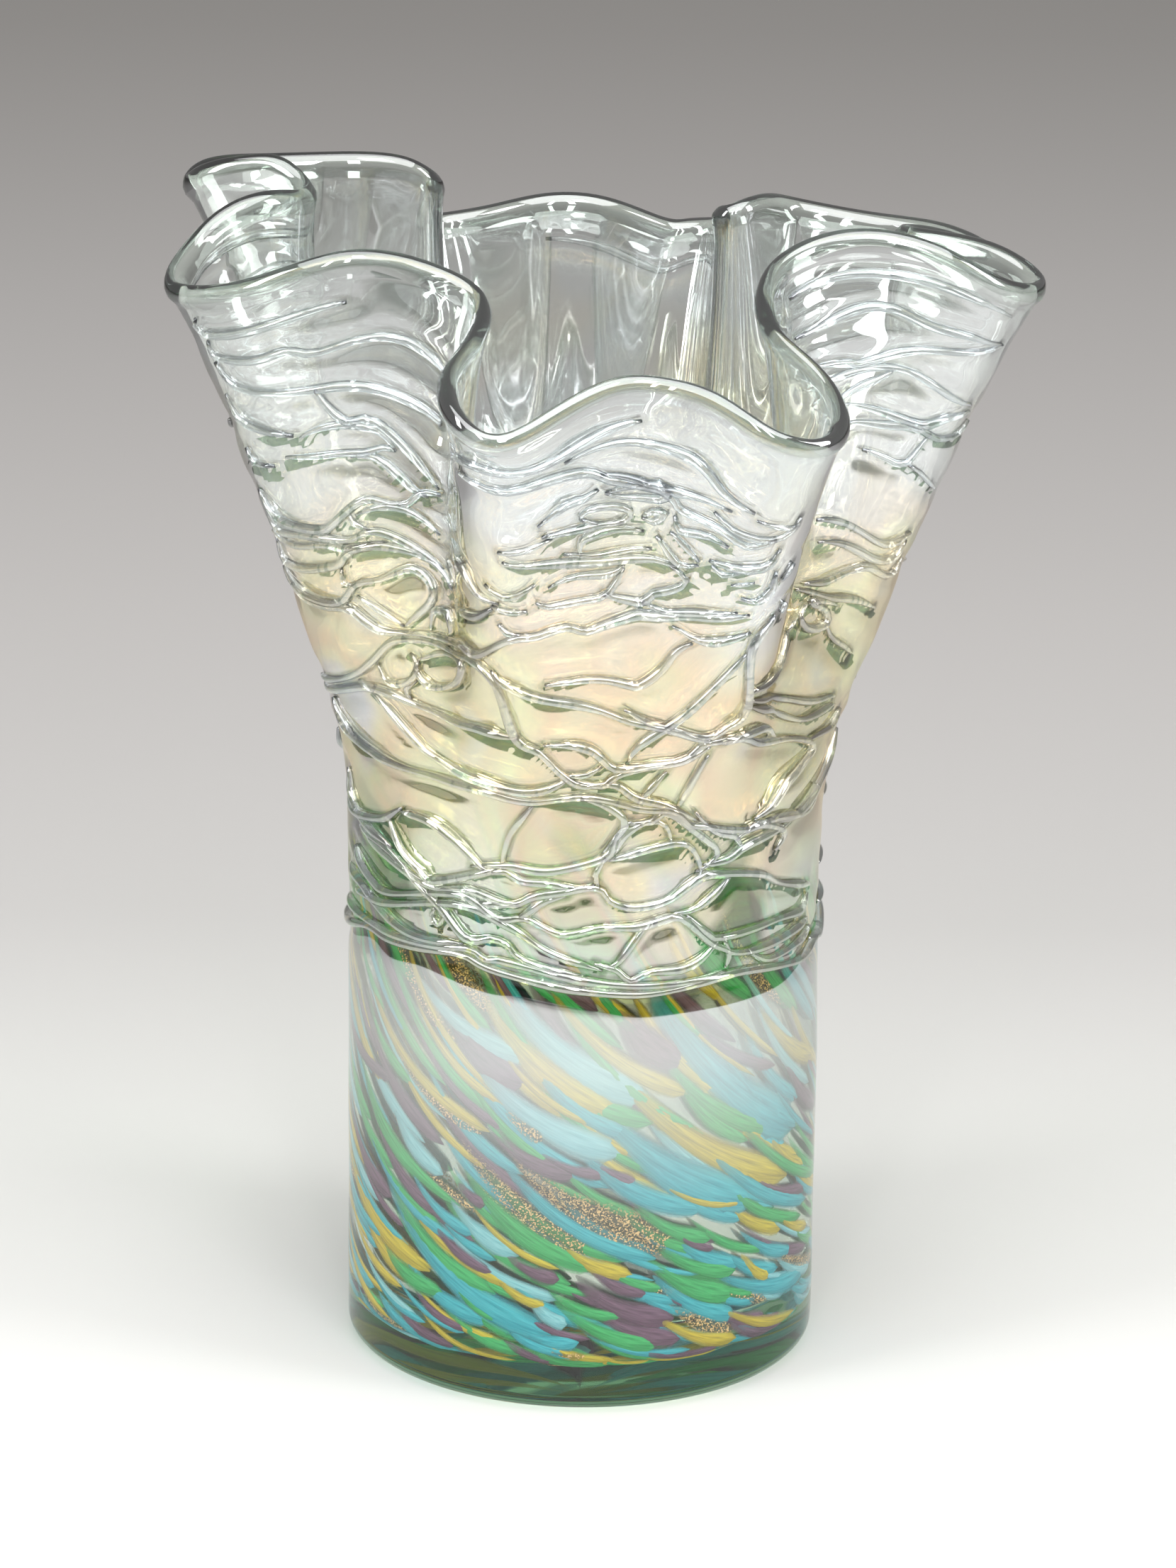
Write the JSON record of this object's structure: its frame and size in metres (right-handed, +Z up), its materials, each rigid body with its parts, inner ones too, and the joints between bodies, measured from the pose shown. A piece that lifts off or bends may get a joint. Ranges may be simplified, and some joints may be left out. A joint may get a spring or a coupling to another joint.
{
  "type": "blown glass vase",
  "caption": "Tall cylindrical blown glass vase with coloured chips under a clear casing, wound glass trails and a flared, ruffled, lobed lip.",
  "frame": {"origin": "centre of the foot's resting plane, on the body's axis", "axes": "+Z up along the body's axis; -Y is the front, the side with the longest run of trails in view"},
  "size_m": [0.2313, 0.1941, 0.3202],
  "materials": {
    "clear_glass": "blown, fire polished, faint iridescent skin",
    "casing_glass": "blown, smooth, pearly iridescent skin",
    "trail_glass": "drawn, melted in, glossy",
    "turquoise_glass": "opaque coloured glass under clear casing",
    "pale_blue_glass": "opaque coloured glass under clear casing",
    "yellow_glass": "opaque coloured glass under clear casing",
    "green_glass": "opaque coloured glass under clear casing",
    "amethyst_glass": "opaque coloured glass under clear casing",
    "copper_glass": "opaque coloured glass under clear casing"
  },
  "bodies": {
    "root": {"vessel_wall": "clear_glass", "casing": "casing_glass", "chips_turquoise": "turquoise_glass", "chips_pale_blue": "pale_blue_glass", "chips_yellow": "yellow_glass", "chips_green": "green_glass", "chips_amethyst": "amethyst_glass", "chips_copper": "copper_glass", "collar_trails_front": "trail_glass", "collar_trails_back": "trail_glass", "waist_trails_front": "trail_glass", "waist_trails_back": "trail_glass", "middle_trails_front": "trail_glass", "middle_trails_back": "trail_glass", "upper_trails_front": "trail_glass", "upper_trails_back": "trail_glass", "lip_trails_front": "trail_glass", "lip_trails_back": "trail_glass"}
  },
  "joints": []
}
